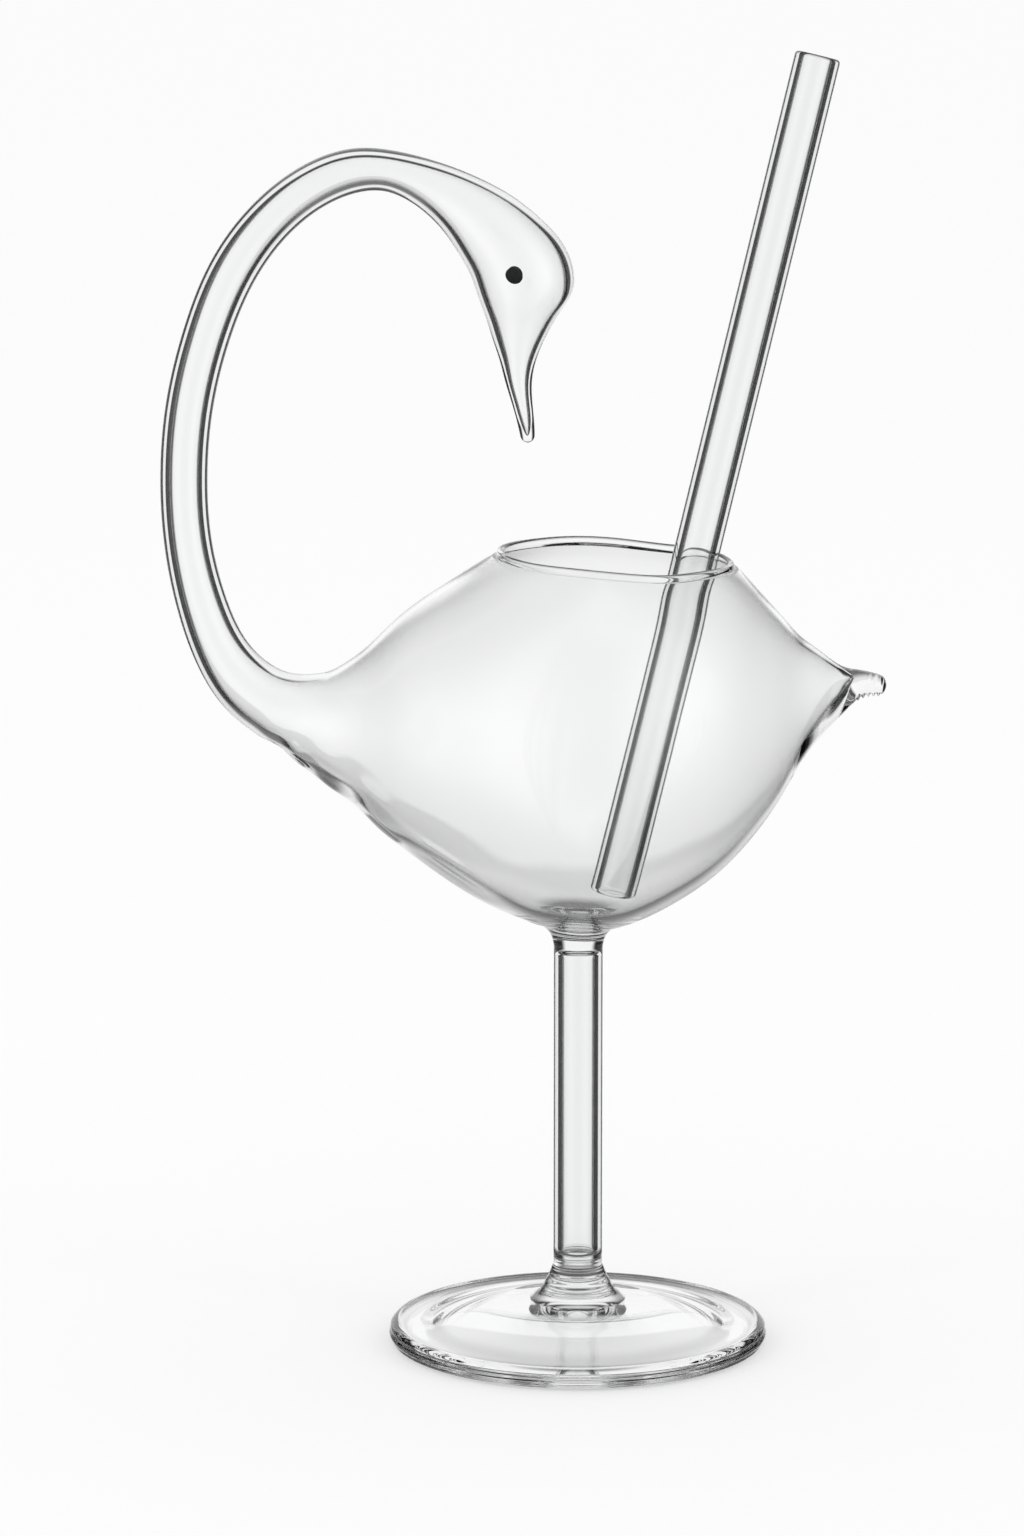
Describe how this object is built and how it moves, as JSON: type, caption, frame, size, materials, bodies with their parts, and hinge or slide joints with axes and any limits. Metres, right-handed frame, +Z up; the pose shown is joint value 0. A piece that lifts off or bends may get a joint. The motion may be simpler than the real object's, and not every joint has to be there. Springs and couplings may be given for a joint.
{
  "type": "stemmed drinking glass",
  "caption": "Clear stemmed glass blown as a swan: round foot, hollow stem, bulbous body with a round mouth, arched neck, head and beak, with a loose glass straw.",
  "frame": {"origin": "centre of the foot where it stands on the table, on the stem's axis", "axes": "+Z up along the stem; +X towards the bird's tail, -X towards its neck; the bird's plane of symmetry is XZ"},
  "size_m": [0.126, 0.0714, 0.2264],
  "materials": {
    "clear_glass": "fire polished clear borosilicate",
    "straw_glass": "fire polished clear borosilicate tube",
    "black_enamel": "satin black fired enamel"
  },
  "bodies": {
    "glass": {"foot": "clear_glass", "foot_collar": "clear_glass", "stem": "clear_glass", "stem_collar": "clear_glass", "bowl": "clear_glass", "tail_tip": "clear_glass", "neck": "clear_glass", "head": "clear_glass", "beak": "clear_glass", "eye_left": "black_enamel", "eye_right": "black_enamel"},
    "straw": {"straw": "straw_glass"}
  },
  "joints": [
    {"name": "straw_lift", "type": "slide", "parent": "glass", "child": "straw", "axis": [0.2341, 0.0734, 0.9694], "range_m": [0, 0.16]}
  ]
}
